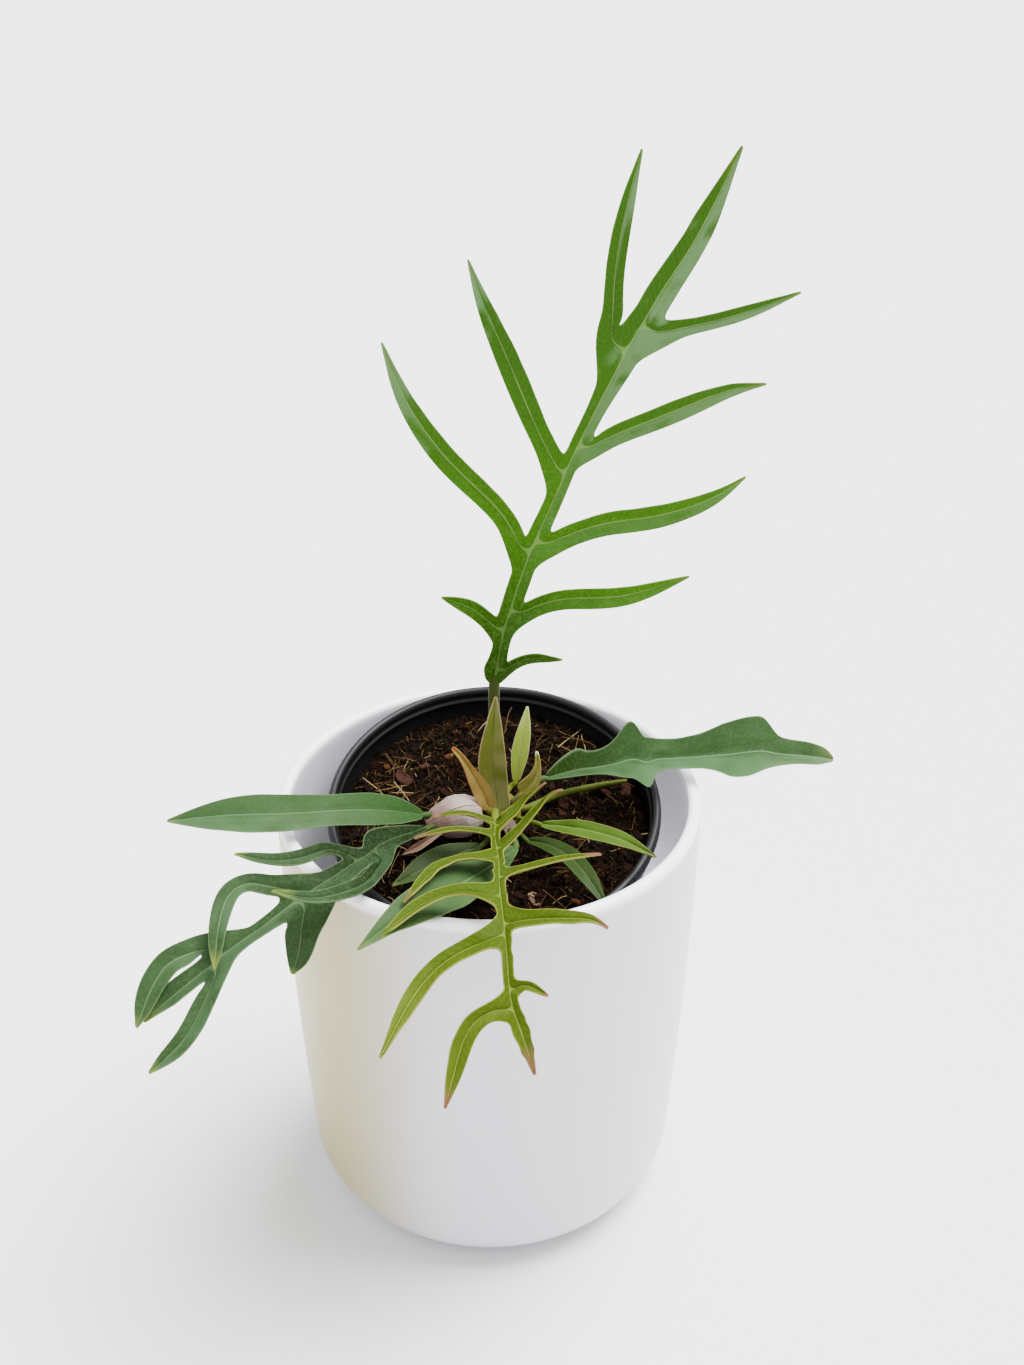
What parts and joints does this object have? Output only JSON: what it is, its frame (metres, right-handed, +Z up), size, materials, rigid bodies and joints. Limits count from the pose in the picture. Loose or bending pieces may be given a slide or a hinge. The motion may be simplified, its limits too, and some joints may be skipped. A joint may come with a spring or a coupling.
{
  "type": "potted fishbone philodendron",
  "caption": "Young fishbone philodendron with long lobed and lance-shaped leaves in a black nursery pot, standing inside a plain white, slightly tapered cover pot.",
  "frame": {"origin": "centre of the cover pot's flat foot, on the surface that it stands on", "axes": "+Z up; the viewer of the picture stands on the -Y side; +X to the viewer's right"},
  "size_m": [0.2281, 0.1975, 0.3741],
  "materials": {
    "glaze": "satin glaze",
    "black_plastic": "satin",
    "soil": "matte, fibrous",
    "fresh_leaf": "satin leaf",
    "young_leaf": "satin leaf",
    "deep_leaf": "satin leaf",
    "olive_sheath": "satin",
    "brown_sheath": "dry, matte",
    "stem": "satin",
    "papery_sheath": "dry, papery"
  },
  "bodies": {
    "root": {"cover_pot": "glaze", "nursery_pot": "black_plastic", "soil": "soil", "tall_leaf": "fresh_leaf", "young_leaf": "young_leaf", "left_lobed_leaf": "deep_leaf", "right_lobed_leaf": "deep_leaf", "left_lance_leaf": "deep_leaf", "front_lance_leaf": "deep_leaf", "back_short_leaf": "deep_leaf", "right_lance_leaf_upper": "young_leaf", "right_lance_leaf_lower": "deep_leaf", "small_upright_leaf": "young_leaf", "olive_sheath_leaf": "olive_sheath", "brown_sheath_leaf": "brown_sheath", "right_sheath_leaf": "brown_sheath", "crown": "stem", "aerial_root": "stem", "papery_sheath": "papery_sheath"}
  },
  "joints": []
}
